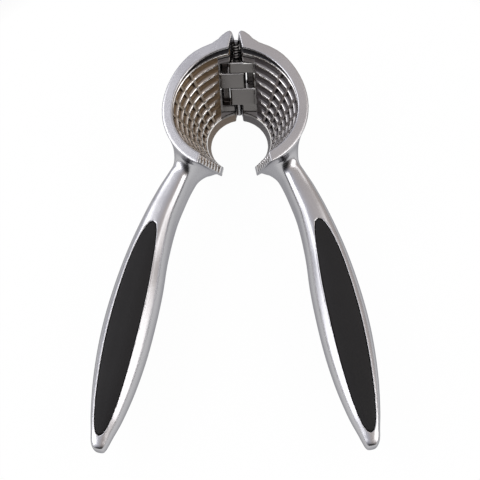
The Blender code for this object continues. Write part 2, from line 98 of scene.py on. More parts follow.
def remap(tree, value, low, high, toLow, toHigh, x=0, y=0):
    node = addNode(tree, "ShaderNodeMapRange", x, y, clamp=True)
    join(tree, value, node.inputs["Value"])
    for label, number in (("From Min", low), ("From Max", high), ("To Min", toLow), ("To Max", toHigh)):
        node.inputs[label].default_value = number
    return node.outputs["Result"]


def blendColours(tree, share, first, second, x=0, y=0):
    node = addNode(tree, "ShaderNodeMix", x, y, data_type="RGBA")
    for socket, value in ((node.inputs[0], share), (node.inputs[6], first), (node.inputs[7], second)):
        if isinstance(value, (int, float)):
            socket.default_value = value
        elif isinstance(value, tuple):
            socket.default_value = (*value, 1)
        else:
            join(tree, value, socket)
    return node.outputs[2]


# shared surface effects

def makeSatinGroup():
    # clouds and a very fine grain as masks, and a normal with low waves and that grain
    group = newGroup("satinSurface", [
        ("Cloud Size", "NodeSocketFloat", 90.0), ("Grain Size", "NodeSocketFloat", 4200.0),
        ("Wave Height", "NodeSocketFloat", 0.5), ("Grain Height", "NodeSocketFloat", 0.2),
    ], [("Cloud", "NodeSocketFloat"), ("Grain", "NodeSocketFloat"), ("Normal", "NodeSocketVector")])
    start = addNode(group, "NodeGroupInput", -900, 0)
    end = addNode(group, "NodeGroupOutput", 500, 0)
    place = addNode(group, "ShaderNodeTexCoord", -900, -300)
    cloud = addNode(group, "ShaderNodeTexNoise", -600, 200)
    cloud.inputs["Detail"].default_value = 4
    grain = addNode(group, "ShaderNodeTexNoise", -600, -100)
    grain.inputs["Detail"].default_value = 2
    for texture, size in ((cloud, "Cloud Size"), (grain, "Grain Size")):
        join(group, place.outputs["Object"], texture.inputs["Vector"])
        join(group, start.outputs[size], texture.inputs["Scale"])
    wave = addNode(group, "ShaderNodeBump", -200, 0)
    wave.inputs["Distance"].default_value = 0.0002
    join(group, start.outputs["Wave Height"], wave.inputs["Strength"])
    join(group, cloud.outputs["Fac"], wave.inputs["Height"])
    fine = addNode(group, "ShaderNodeBump", 100, 0)
    fine.inputs["Distance"].default_value = 0.00002
    join(group, start.outputs["Grain Height"], fine.inputs["Strength"])
    join(group, grain.outputs["Fac"], fine.inputs["Height"])
    join(group, wave.outputs["Normal"], fine.inputs["Normal"])
    join(group, cloud.outputs["Fac"], end.inputs["Cloud"])
    join(group, grain.outputs["Fac"], end.inputs["Grain"])
    join(group, fine.outputs["Normal"], end.inputs["Normal"])
    return group


def makeHollowGroup():
    # how deep a spot lies between its neighbours, for painting shade into hollows: 1 in the open, 0 at the bottom
    # of a groove
    group = newGroup("hollowShade", [("Reach", "NodeSocketFloat", 0.004)],
                     [("Open", "NodeSocketFloat")])
    start = addNode(group, "NodeGroupInput", -400, 0)
    end = addNode(group, "NodeGroupOutput", 300, 0)
    around = addNode(group, "ShaderNodeAmbientOcclusion", -100, 0, samples=8)
    join(group, start.outputs["Reach"], around.inputs["Distance"])
    join(group, around.outputs["AO"], end.inputs["Open"])
    return group


satinSurface = makeSatinGroup()
hollowShade = makeHollowGroup()
# most of a noise's values lie between these two
noiseMiddle = (0.3, 0.7)


def placeGroup(tree, group, x, y, **values):
    node = addNode(tree, "ShaderNodeGroup", x, y, node_tree=group)
    for label, value in values.items():
        node.inputs[label].default_value = value
    return node


def newMaterial(name):
    material = bpy.data.materials.new(name)
    material.use_nodes = True
    tree = material.node_tree
    return material, tree, tree.nodes["Principled BSDF"]


# castings: satin chrome, with painted shade down in the grooves, under the rim, on the knuckles' faces and in
# hollows, and painted highlights on the crests and edges

castingLook = {
    # the crest colour is a painted highlight for the ribs' crests, the lip, the knuckles' edges and the ticks
    "open": (0.455, 0.452, 0.465), "polished": (0.52, 0.517, 0.53), "crest": (0.97, 0.955, 0.94),
    "edgeTint": (0.45, 0.45, 0.47),
    "rough": 0.22, "roughSpread": 0.08, "grooveRough": 0.42,
    "hollowReach": 0.0035, "hollowFade": (0.10, 0.60),
    # the groove colours are painted shade down in the grooves, where the cast is also duller
    "groove": {"left": (0.190, 0.132, 0.078), "right": (0.080, 0.070, 0.070)}, "grooveMetal": 0.35,
    "grooveShare": {"betweenRibs": 0.15, "lowBand": 0.8, "frontFace": 0.9},
    # in the groove, tooth and hollow colours the left half's warmer, lighter tone is a painted warm reflection
    "tooth": {"left": (0.46, 0.39, 0.31), "right": (0.22, 0.195, 0.19)},
    # the hinge face colour is painted shade on the knuckles' faces, and the under-rim colour a painted shadow
    # under the rim near the hinge
    "hingeFace": (0.150, 0.142, 0.138), "underRim": (0.020, 0.020, 0.022),
    # the hollow colours are painted shade in creases and hollows
    "hollow": {"left": (0.060, 0.040, 0.026), "right": (0.030, 0.026, 0.026)},
}

castingShape = {
    "halfOpen": math.radians(14.35), "pinSetback": 0.0320, "pinTilt": math.radians(29.25),
    "cell": 0.00025, "softRounds": 4, "triangles": 185000,
    "cupDepth": 0.0352, "cupFacets": 64, "rimOuter": 0.0283, "smallEndOuter": 0.0150,
    "mouth": 0.0252, "smallEnd": 0.0111, "firstRib": 0.0025, "lastRib": 0.0307, "ribs": 8,
    "knuckles": (0.0115, 0.0167, 0.0242), "knuckleEdge": 0.0003,
    "neckFill": 0.0080, "leastFill": 0.12, "fillTurns": 7, "fillStep": 0.8,
    "neckRounds": 60, "tipRounds": 40, "rimRounds": 4, "sideRounds": 24, "sectionSteps": 12,
    "squareness": 3.2, "innerSquareness": 2.35, "neckSquareness": 3.2,
    # the handle: distance from the rim's middle, inner side, outer side and thickness
    "handle": (
        (0.0110, 0.0010, 0.0115, 0.0270), (0.0150, 0.0010, 0.0130, 0.0265),
        (0.0190, 0.0037, 0.0142, 0.0199), (0.0235, 0.0057, 0.0146, 0.0169),
        (0.0280, 0.0069, 0.0162, 0.0156), (0.0340, 0.0079, 0.0184, 0.0149),
        (0.0450, 0.0092, 0.0211, 0.0154), (0.0600, 0.0088, 0.0238, 0.0158),
        (0.0750, 0.0073, 0.0253, 0.0164), (0.0900, 0.0067, 0.0258, 0.0162),
        (0.1030, 0.0068, 0.0252, 0.0155), (0.1160, 0.0078, 0.0237, 0.0136),
        (0.1280, 0.0097, 0.0214, 0.0108), (0.1350, 0.0115, 0.0196, 0.0084),
        (0.1395, 0.0126, 0.0184, 0.0064), (0.1412, 0.0134, 0.0170, 0.0050),
    ),
}
sideSigns = {"left": -1, "right": 1}
# the middle of the shut cup's rim, where the shut tool's own places are counted from
rimMiddle = Vector((0, pinTop.y - castingShape["pinSetback"], pinTop.z))

# where each mark on the castings fades in: depth below the rim, distance outwards from the
# ribs' crests or from the middle of a crest, and places in the shut or the open tool
markFades = {
    "offRing": (0.00028, 0.00050), "offTick": (0.0007, 0.0010), "behindCrest": (0.0003, 0.0008),
    "inGroove": (0.0003, 0.0010), "behindWall": (0.0020, 0.0023), "behindTicks": (0.0028, 0.0032),
    "lowBand": (castingShape["lastRib"] + 0.0004, castingShape["lastRib"] + 0.0008),
    "lip": (castingShape["cupDepth"] - 0.0007, castingShape["cupDepth"] - 0.0004),
    "belowRim": (0.0009, 0.0012), "firstTick": (0.0014, 0.0018), "underShade": (0.0021, 0.0024),
    "hingeTop": (0.0046, 0.0050), "hingeSide": (0.0070, 0.0073), "hingeHalf": (0.0, 0.001),
    "handleHalf": (-0.001, 0.0), "partingFace": (0.0014, 0.0017), "offEdge": (0.00015, 0.00035),
    "hingeWall": (0.006, 0.008), "backWall": (0.006, 0.014),
}

# where each smoothing of the castings fades in: shares of the handle's section, distances
# from the rim's middle towards the handle's end, and places and levels in the shut tool
shapeFades = {
    "pastInnerSide": (-0.25, 0.10), "pastNeck": (0.0380, 0.0700), "onSkin": (0.94, 0.96),
    "offSkin": (1.02, 1.04), "facingOut": (0.60, 0.85), "pastCup": (0.0190, 0.0240),
    "pastTip": (0.1380, 0.1400), "besideInlay": (0.62, 0.85), "handleSide": (0.78, 0.88),
    "sideStart": (0.0290, 0.0350), "sideEnd": (0.1330, 0.1380), "tip": (0.1365, 0.1400),
    "cupInside": (0.0090, 0.0100), "cupOutside": (0.0290, 0.0300), "underRim": (0.0012, 0.0016),
    "besideHinge": (0.0092, 0.0105), "hingeHalf": (0.0, 0.0020), "pastCupFront": (0.0280, 0.0300),
    "outerSkin": (-0.0007, -0.0003), "fillTop": (0.0013, 0.0026), "fillBottom": (0.0250, 0.0335),
    "fillStart": (0.0030, 0.0130), "fillEnd": (0.0400, 0.0460), "fillWidth": (0.0005, 0.0060),
    "rimEdge": (0.0272, 0.0280), "rimLevel": (-0.0024, -0.0014), "horn": (-0.0040, 0.0100),
}


def makeRibMarks():
    # masks for the painted highlights on the ribs' crests and edges, the grooves' duller finish and painted shade,
    # the teeth, the painted shade on the hinge's faces and the painted shadow under the rim
    shape, shares = castingShape, castingLook["grooveShare"]
    group = newGroup("ribMarks", [("Side", "NodeSocketFloat", 1.0)], [
        (label, "NodeSocketFloat") for label in ("Crest", "Groove", "Tooth", "Hinge", "Shade")])
    start = addNode(group, "NodeGroupInput", -2000, 0)
    end = addNode(group, "NodeGroupOutput", 600, 0)

    def step(value, fade):
        return remap(group, value, *markFades[fade], 0.0, 1.0, -900, 0)

    def rest(value):
        return maths(group, "SUBTRACT", 1.0, value, -700, 0)

    def product(first, *others):
        for other in others:
            first = maths(group, "MULTIPLY", first, other, -500, 0)
        return first

    def largest(first, second):
        return maths(group, "MAXIMUM", first, second, -300, 0)

    shutPlace = addNode(group, "ShaderNodeAttribute", -2000, 200, attribute_name="shutPlace")
    shut = addNode(group, "ShaderNodeSeparateXYZ", -1800, 0)
    join(group, shutPlace.outputs["Vector"], shut.inputs[0])
    openPlace = addNode(group, "ShaderNodeTexCoord", -2000, -300).outputs["Object"]
    opened = addNode(group, "ShaderNodeSeparateXYZ", -1800, -300)
    join(group, openPlace, opened.inputs[0])
    x, y, z = shut.outputs
    depth = maths(group, "MULTIPLY", z, -1.0)
    # the cup's own leaning axis
    spread = math.tan(shape["halfOpen"])
    lean = maths(group, "MULTIPLY", z, math.sin(shape["pinTilt"]) * spread)
    axis = maths(group, "SUBTRACT", -shape["pinSetback"] * math.cos(shape["pinTilt"]) * spread, lean)
    across = maths(group, "SUBTRACT", x, maths(group, "MULTIPLY", start.outputs["Side"], axis))
    radius = maths(group, "SQRT", maths(group, "ADD", product(across, across), product(y, y)))
    taper = maths(group, "MULTIPLY", depth, (shape["mouth"] - shape["smallEnd"]) / shape["cupDepth"])
    outwards = maths(group, "SUBTRACT", maths(group, "ADD", radius, taper), shape["mouth"])
    pitch = (shape["lastRib"] - shape["firstRib"]) / (shape["ribs"] - 1)
    turn = maths(group, "FLOORED_MODULO", maths(group, "ADD", depth, pitch / 2 - shape["firstRib"]), pitch)
    offCrest = maths(group, "ABSOLUTE", maths(group, "SUBTRACT", turn, pitch / 2))

    ring = rest(step(offCrest, "offRing"))
    high = rest(step(outwards, "behindCrest"))
    band = step(depth, "lowBand")
    lip = step(depth, "lip")
    narrow = rest(step(maths(group, "ABSOLUTE", opened.outputs["X"]), "hingeSide"))
    hinge = product(narrow, step(y, "hingeHalf"), step(depth, "hingeTop"))
    front = product(rest(step(maths(group, "ABSOLUTE", x), "partingFace")), rest(step(y, "handleHalf")))
    inside = product(step(depth, "belowRim"), rest(step(outwards, "behindWall")), rest(front))
    ribbed = product(inside, rest(hinge), rest(band))
    ends = product(front, step(depth, "firstTick"), rest(step(outwards, "behindTicks")))
    tick = rest(step(offCrest, "offTick"))

    # the knuckles' upper edges, by the distance along the pin, where a highlight is painted
    along = addNode(group, "ShaderNodeVectorMath", -1800, -600, operation="DOT_PRODUCT")
    join(group, openPlace, along.inputs[0])
    along.inputs[1].default_value = pinDown
    edge = 0.0
    for knuckle in shape["knuckles"]:
        edgePlace = pinTop.dot(pinDown) + knuckle + shape["knuckleEdge"]
        offEdge = maths(group, "ABSOLUTE", maths(group, "SUBTRACT", along.outputs["Value"], edgePlace))
        edge = largest(edge, rest(step(offEdge, "offEdge")))

    # painted highlights on the ribs' crests, the small end's lip, the knuckles' upper edges and the ticks on the
    # parting face
    crest = largest(product(ribbed, high, ring), product(inside, rest(hinge), lip))
    crest = largest(crest, product(hinge, edge, step(y, "hingeWall")))
    # painted shade down in the grooves and between the ticks on the parting face, where the cast is also duller
    deep = largest(step(outwards, "inGroove"), product(rest(ring), shares["betweenRibs"]))
    groove = largest(product(ribbed, deep), product(inside, band, rest(lip), shares["lowBand"]))
    between = product(ends, rest(tick), rest(band), shares["frontFace"])
    # painted shadow under the rim, towards the hinge
    shade = product(inside, rest(step(depth, "underShade")), step(y, "backWall"))
    for label, value in (
            ("Crest", largest(crest, product(ends, tick))), ("Groove", largest(groove, between)),
            ("Tooth", product(ribbed, high, rest(ring))), ("Shade", shade),
            ("Hinge", product(hinge, rest(band), rest(edge), step(y, "hingeWall")))):
        join(group, value, end.inputs[label])
    return group


ribMarks = makeRibMarks()


def makeCastChrome(sideName):
    material, tree, shader = newMaterial(sideName + "CastChrome")
    satin = placeGroup(tree, satinSurface, -900, 0, **{
        "Cloud Size": 70.0, "Grain Size": 5200.0, "Wave Height": 0.05, "Grain Height": 0.25})
    hollow = placeGroup(tree, hollowShade, -900, -450, Reach=castingLook["hollowReach"])
    marks = placeGroup(tree, ribMarks, -1100, 350, Side=float(sideSigns[sideName])).outputs
    base = blendColours(tree, satin.outputs["Cloud"], castingLook["open"], castingLook["polished"], -850, 100)
    # painted highlight on the crests and edges
    bright = blendColours(tree, marks["Crest"], base, castingLook["crest"], -700, 150)
    toothed = blendColours(tree, marks["Tooth"], bright, castingLook["tooth"][sideName], -550, 200)
    # painted shade in the grooves
    grooved = blendColours(tree, marks["Groove"], toothed, castingLook["groove"][sideName], -400, 250)
    # painted shadow under the rim
    dark = blendColours(tree, marks["Shade"], grooved, castingLook["underRim"], -300, 300)
    # painted shade on the knuckles' faces
    faced = blendColours(tree, marks["Hinge"], dark, castingLook["hingeFace"], -250, 350)
    # painted shade in the hollows, by how closed in each spot is
    openness = remap(tree, hollow.outputs["Open"], *castingLook["hollowFade"], 0.0, 1.0, -600, -400)
    shaded = blendColours(tree, openness, castingLook["hollow"][sideName], faced, -150, 50)
    join(tree, shaded, shader.inputs["Base Color"])
    smooth = remap(tree, satin.outputs["Cloud"], *noiseMiddle, castingLook["rough"],
                   castingLook["rough"] + castingLook["roughSpread"], -500, -150)
    roughest = castingLook["grooveRough"] - castingLook["rough"]
    rough = remap(tree, marks["Groove"], 0.0, 1.0, 0.0, roughest, -350, -300)
    join(tree, maths(tree, "ADD", smooth, rough, -150, -250), shader.inputs["Roughness"])
    join(tree, satin.outputs["Normal"], shader.inputs["Normal"])
    # the cast grooves are duller than the polished outside
    matt = maths(tree, "MAXIMUM", marks["Groove"], marks["Tooth"], -350, -500)
    metal = remap(tree, matt, 0.0, 1.0, 1.0, castingLook["grooveMetal"], -150, -500)
    join(tree, metal, shader.inputs["Metallic"])
    shader.inputs["Specular Tint"].default_value = (*castingLook["edgeTint"], 1)
    return material


def closedPlace(side):
    # from the shut tool, with the rim's middle at its origin, to where this half lies open
    turn = Matrix.Rotation(-side * castingShape["halfOpen"], 4, "Z")
    return pinFrame @ turn @ pinFrame.inverted() @ Matrix.Translation(rimMiddle)


def ramp(values, fade):
    low, high = shapeFades[fade]
    share = np.clip((values - low) / (high - low), 0, 1)
    return share * share * (3 - 2 * share)


def pointsOf(mesh, what="co"):
    flat = np.empty(len(mesh.vertices) * 3)
    mesh.vertices.foreach_get(what, flat)
    return flat.reshape(-1, 3)


def putPoints(mesh, points):
    mesh.vertices.foreach_set("co", points.ravel())
    mesh.update()


def edgesOf(mesh):
    flat = np.empty(len(mesh.edges) * 2, dtype=np.int32)
    mesh.edges.foreach_get("vertices", flat)
    return flat.reshape(-1, 2)


def sectionTable():
    # the handle's sections close together, with the same smooth steps as in the solid
    rows = np.array(castingShape["handle"])
    slopes = np.empty_like(rows)
    for index in range(len(rows)):
        before, after = rows[max(index - 1, 0)], rows[min(index + 1, len(rows) - 1)]
        slopes[index] = (after - before) / (after[0] - before[0])
    table = []
    for index in range(len(rows) - 1):
        gap = rows[index + 1][0] - rows[index][0]
        for share in np.linspace(0, 1, castingShape["sectionSteps"], endpoint=False):
            start = 2 * share ** 3 - 3 * share ** 2 + 1
            leave = (share ** 3 - 2 * share ** 2 + share) * gap
            arrive = (share ** 3 - share ** 2) * gap
            table.append(start * rows[index] + (1 - start) * rows[index + 1]
                         + leave * slopes[index] + arrive * slopes[index + 1])
    table.append(rows[-1])
    return np.array(table)


def handleSection(points, side):
    # each point's middle, half sizes and place across its own section of the handle
    table = sectionTable()
    reach = -points[:, 1]
    inner, outer, thickness = (np.interp(reach, table[:, 0], table[:, column]) for column in (1, 2, 3))
    middle, halfWidth, halfThickness = (inner + outer) / 2, (outer - inner) / 2, thickness / 2
    x = side * points[:, 0] - middle
    z = points[:, 2] + castingShape["cupDepth"] / 2
    return middle, halfWidth, halfThickness, x / halfWidth, z / halfThickness


def sectionSlope(x, z, halfWidth, halfThickness, power):
    # the way out of the section, across and up
    slopeX = np.sign(x) * np.abs(x) ** (power - 1) / halfWidth
    slopeZ = np.sign(z) * np.abs(z) ** (power - 1) / halfThickness
    size = np.maximum(np.hypot(slopeX, slopeZ), 1e-9)
    return slopeX / size, slopeZ / size


def roundness(reach, x):
    # the handle's inner side is rounder than the rest, but for the neck
    whole, inner, neck = (castingShape[name] for name in ("squareness", "innerSquareness", "neckSquareness"))
    innerSide = 1 - ramp(x, "pastInnerSide")
    power = whole + (inner - whole) * innerSide
    return power + (neck - power) * (1 - ramp(reach, "pastNeck"))


def easeHandle(points, normals, side):
    # bring the flats between the handle's corners onto its true rounded section
    middle, halfWidth, halfThickness, x, z = handleSection(points, side)
    whole, reach = castingShape["squareness"], -points[:, 1]
    power = roundness(reach, x)
    full = np.maximum((np.abs(x) ** whole + np.abs(z) ** whole) ** (1 / whole), 0.01)
    slopeX, slopeZ = sectionSlope(x, z, halfWidth, halfThickness, whole)
    facing = side * slopeX * normals[:, 0] + slopeZ * normals[:, 2]
    share = ramp(full, "onSkin") * (1 - ramp(full, "offSkin")) * ramp(facing, "facingOut")
    share *= ramp(reach, "pastCup") * (1 - ramp(reach, "pastTip"))
    target = np.maximum((np.abs(x) ** power + np.abs(z) ** power) ** (1 / power), 0.01)
    # near the middle a point only sinks, so that the inlay keeps its outline
    outside = ramp(np.abs(x), "besideInlay")
    sunk = np.sign(z) * (1 - np.minimum(np.abs(x), 0.98) ** power) ** (1 / power)
    newX = x + (x / target - x) * outside
    newZ = sunk + (z / target - sunk) * outside
    points[:, 0] = side * (middle + (x + (newX - x) * share) * halfWidth)
    points[:, 2] = (z + (newZ - z) * share) * halfThickness - castingShape["cupDepth"] / 2


def cupPlace(points, side):
    # radius and angle about the cup's own leaning axis
    tilt, setback, depth = castingShape["pinTilt"], castingShape["pinSetback"], castingShape["cupDepth"]
    spread = math.tan(castingShape["halfOpen"])
    top = -setback * math.cos(tilt) * spread
    lean = depth * math.sin(tilt) * spread
    across = points[:, 0] - side * (top - lean * points[:, 2] / depth)
    return np.hypot(across, points[:, 1]), np.arctan2(points[:, 1], across)


def easeCup(points, side):
    # round the cup's flats, away from the rim and the hinge
    radius, angle = cupPlace(points, side)
    step = 2 * math.pi / castingShape["cupFacets"]
    grow = np.cos(angle % step - step / 2) / math.cos(step / 2)
    share = ramp(radius, "cupInside") * (1 - ramp(radius, "cupOutside")) * ramp(-points[:, 2], "underRim")
    share *= 1 - (1 - ramp(np.abs(points[:, 0]), "besideHinge")) * ramp(points[:, 1], "hingeHalf")
    share *= 1 - ramp(-points[:, 1], "pastCupFront")
    growth = 1 + (grow - 1) * share
    points[:, 0] += np.cos(angle) * radius * (growth - 1)
    points[:, 1] *= growth


def relax(mesh, share, rounds):
    # move each point up to half way towards the middle of its neighbours, once a round
    points = pointsOf(mesh)
    edges = edgesOf(mesh)
    pairs = np.concatenate((edges, edges[:, ::-1]))
    pairs = pairs[share[pairs[:, 0]] > 0]
    pairs = pairs[np.argsort(pairs[:, 0], kind="stable")]
    moving, starts, counts = np.unique(pairs[:, 0], return_index=True, return_counts=True)
    pull = (0.5 * share[moving])[:, None]
    for turn in range(rounds):
        middles = np.add.reduceat(points[pairs[:, 1]], starts) / counts[:, None]
        points[moving] += (middles - points[moving]) * pull
    putPoints(mesh, points)


def neckFields(points, side):
    # how far a point stands outside the cup's wall and outside the handle, and both ways out
    shape = castingShape
    lean = (shape["rimOuter"] - shape["smallEndOuter"]) / shape["cupDepth"]
    radius, angle = cupPlace(points, side)
    upright = 1 / math.hypot(1, lean)
    offCup = (radius - shape["rimOuter"] - lean * points[:, 2]) * upright
    outCup = np.stack((np.cos(angle), np.sin(angle), np.full(len(points), -lean)), axis=1) * upright
    middle, halfWidth, halfThickness, x, z = handleSection(points, side)
    power = roundness(-points[:, 1], x)
    full = (np.abs(x) ** power + np.abs(z) ** power) ** (1 / power)
    offHandle = (full - 1) * np.minimum(halfWidth, halfThickness)
    slopeX, slopeZ = sectionSlope(x, z, halfWidth, halfThickness, power)
    outHandle = np.stack((side * slopeX, np.zeros(len(points)), slopeZ), axis=1)
    return offCup, outCup, offHandle, outHandle


def fillNeck(points, side):
    # a wide soft fillet round the handle where it runs into the cup, narrow at the parting face
    offCup, outCup, offHandle, outHandle = neckFields(points, side)
    nearest = np.minimum(offCup, offHandle)
    share = ramp(nearest, "outerSkin") * ramp(-points[:, 2], "fillTop")
    share *= ramp(-points[:, 1], "fillStart") * (1 - ramp(-points[:, 1], "fillEnd"))
    share *= 1 - ramp(-points[:, 2], "fillBottom")
    least = castingShape["leastFill"]
    for turn in range(castingShape["fillTurns"]):
        offCup, outCup, offHandle, outHandle = neckFields(points, side)
        width = castingShape["neckFill"] * (least + (1 - least) * ramp(side * points[:, 0], "fillWidth"))
        overlap = np.maximum(width - np.abs(offCup - offHandle), 0) / width
        surface = np.minimum(offCup, offHandle) - overlap ** 2 * width / 4
        mix = np.clip(0.5 + 0.5 * (offHandle - offCup) / width, 0, 1)[:, None]
        way = outCup * mix + outHandle * (1 - mix)
        way /= np.maximum(np.linalg.norm(way, axis=1, keepdims=True), 1e-9)
        points -= way * (surface * share * (overlap > 0))[:, None] * castingShape["fillStep"]
    return share * (overlap > 0)


def sideShare(points, side):
    # both sides of the handle, clear of the inlays
    x = handleSection(points, side)[3]
    share = ramp(-points[:, 1], "sideStart") * (1 - ramp(-points[:, 1], "sideEnd"))
    return share * ramp(np.abs(x), "handleSide")


def rimShare(points, side):
    # the rim's outer edge, but for the horn
    radius = cupPlace(points, side)[0]
    share = ramp(radius, "rimEdge") * ramp(points[:, 2], "rimLevel")
    return share * (1 - ramp(points[:, 1], "horn"))


# points closer than this are one
mergeDistance = 0.000002


def mergedCopy(nodeName, pieceName):
    # the solid's own mesh with its loose triangles joined
    mesh = frame["nodes"][nodeName].data.copy()
    mesh.name = pieceName
    bm = bmesh.new()
    bm.from_mesh(mesh)
    bmesh.ops.remove_doubles(bm, verts=bm.verts, dist=mergeDistance)
    bm.to_mesh(mesh)
    bm.free()
    piece = bpy.data.objects.new(pieceName, mesh)
    bpy.context.scene.collection.objects.link(piece)
    return piece


def withModifier(piece, kind, **settings):
    # give the piece the mesh that one modifier makes of it
    modifier = piece.modifiers.new("shape", kind)
    for key, value in settings.items():
        setattr(modifier, key, value)
    evaluated = piece.evaluated_get(bpy.context.evaluated_depsgraph_get())
    mesh = bpy.data.meshes.new_from_object(evaluated)
    piece.modifiers.remove(modifier)
    mesh.name = piece.name
    piece.data = mesh


def softCast(nodeName, pieceName, sideName, triangles, isCasting):
    # an even skin over the solid, with flats rounded, edges softened and the neck filled out
    side = sideSigns[sideName]
    piece = mergedCopy(nodeName, pieceName)
    withModifier(piece, "REMESH", mode="VOXEL", voxel_size=castingShape["cell"])
    place = closedPlace(side)
    piece.data.transform(place.inverted())
    points = pointsOf(piece.data)
    easeHandle(points, pointsOf(piece.data, "normal"), side)
    if isCasting:
        easeCup(points, side)
        neck = fillNeck(points, side)
    putPoints(piece.data, points)
    if isCasting:
        relax(piece.data, neck, castingShape["neckRounds"])
        relax(piece.data, sideShare(points, side), castingShape["sideRounds"])
        relax(piece.data, rimShare(points, side), castingShape["rimRounds"])
        relax(piece.data, ramp(-points[:, 1], "tip"), castingShape["tipRounds"])
    relax(piece.data, np.ones(len(points)), castingShape["softRounds"])
    triangleCount = len(piece.data.loops) - 2 * len(piece.data.polygons)
    if triangleCount > triangles:
        withModifier(piece, "DECIMATE", ratio=triangles / triangleCount, use_collapse_triangulate=True)
    # the material finds its ribs by where each point lies when the tool is shut
    shut = piece.data.attributes.new("shutPlace", "FLOAT_VECTOR", "POINT")
    shut.data.foreach_set("vector", pointsOf(piece.data).ravel())
    piece.data.transform(place)
    print(pieceName, "triangles:", len(piece.data.polygons))
    return piece


def dressed(piece, nodeName, material, sharpAngle=None):
    mesh = piece.data
    mesh.materials.clear()
    mesh.materials.append(material)
    mesh.shade_smooth()
    if sharpAngle:
        mesh.set_sharp_from_angle(angle=math.radians(sharpAngle))
    even = piece.modifiers.new("evenNormals", "WEIGHTED_NORMAL")
    even.keep_sharp = True
    even.weight = 60
    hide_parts(nodeName)
    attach(piece, bodyOf[nodeName])


bodyOf = {node: body for body, nodes in frame["record"]["behaviour"]["bodies"].items() for node in nodes}

for sideName in sideSigns:
    node = sideName + "_casting"
    shell = softCast(node, sideName + "CastingShell", sideName, castingShape["triangles"], True)
    dressed(shell, node, makeCastChrome(sideName))
print("castings done")


# inlays: soft black rubber

inlayLook = {
    "dark": (0.007, 0.0065, 0.007), "light": (0.013, 0.0125, 0.013), "rough": 0.62, "roughSpread": 0.14,
    "triangles": 30000,
}


def makeSoftRubber():
    material, tree, shader = newMaterial("softRubber")
    satin = placeGroup(tree, satinSurface, -700, 0, **{
        "Cloud Size": 60.0, "Grain Size": 2600.0, "Wave Height": 0.15, "Grain Height": 1.0})
    base = blendColours(tree, satin.outputs["Cloud"], inlayLook["dark"], inlayLook["light"], -300, 100)
    join(tree, base, shader.inputs["Base Color"])
    rough = remap(tree, satin.outputs["Grain"], *noiseMiddle, inlayLook["rough"],
                  inlayLook["rough"] + inlayLook["roughSpread"], -300, -200)
    join(tree, rough, shader.inputs["Roughness"])
    join(tree, satin.outputs["Normal"], shader.inputs["Normal"])
    shader.inputs["Specular IOR Level"].default_value = 0.25
    shader.inputs["Sheen Weight"].default_value = 0.06
    shader.inputs["Sheen Roughness"].default_value = 0.4
    return material


softRubber = makeSoftRubber()
for sideName in sideSigns:
    for face in ("front", "back"):
        node = sideName + "_inlay_" + face
        name = sideName + face.capitalize() + "Inlay"
        dressed(softCast(node, name, sideName, inlayLook["triangles"], False), node, softRubber)
print("inlays done")


# pin and spring

steelLook = {"hollowShare": 0.3, "hollowReach": 0.003, "hollowFade": (0.1, 0.8), "roughSpread": 0.12}
pinLook = {"steel": (0.46, 0.46, 0.47), "rough": 0.22}
# the spring's start and end lie along the pin, and its blend reaches to each side of the middle
springLook = {
    "steel": (0.66, 0.64, 0.61), "rough": 0.28, "turns": 4.5, "radius": 0.0016, "wire": 0.0003,
    "start": 0.00589, "end": 0.0112, "leg": 0.0036, "sides": 14, "blendReach": 0.0012,
}
# degrees past which an edge of a steel piece stays sharp
sharpSteel = 40


def makeDrawnSteel(name, colour, rough):
    # fine-grained steel, with painted shade where it lies close to other metal
    material, tree, shader = newMaterial(name)
    satin = placeGroup(tree, satinSurface, -700, 0, **{
        "Cloud Size": 400.0, "Grain Size": 9000.0, "Wave Height": 0.1, "Grain Height": 0.3})
    hollow = placeGroup(tree, hollowShade, -700, -300, Reach=steelLook["hollowReach"])
    openness = remap(tree, hollow.outputs["Open"], *steelLook["hollowFade"], 0.0, 1.0, -500, -300)
    # painted shade in the hollows
    dark = tuple(steelLook["hollowShare"] * value for value in colour)
    base = blendColours(tree, openness, dark, colour, -300, 100)
    join(tree, base, shader.inputs["Base Color"])
    roughest = rough + steelLook["roughSpread"]
    join(tree, remap(tree, satin.outputs["Cloud"], *noiseMiddle, rough, roughest, -300, -100),
         shader.inputs["Roughness"])
    join(tree, satin.outputs["Normal"], shader.inputs["Normal"])
    shader.inputs["Metallic"].default_value = 1.0
    return material


pinSteel = makeDrawnSteel("pinSteel", pinLook["steel"], pinLook["rough"])
springSteel = makeDrawnSteel("springSteel", springLook["steel"], springLook["rough"])
dressed(mergedCopy("hinge_pin", "hingePin"), "hinge_pin", pinSteel, sharpSteel)


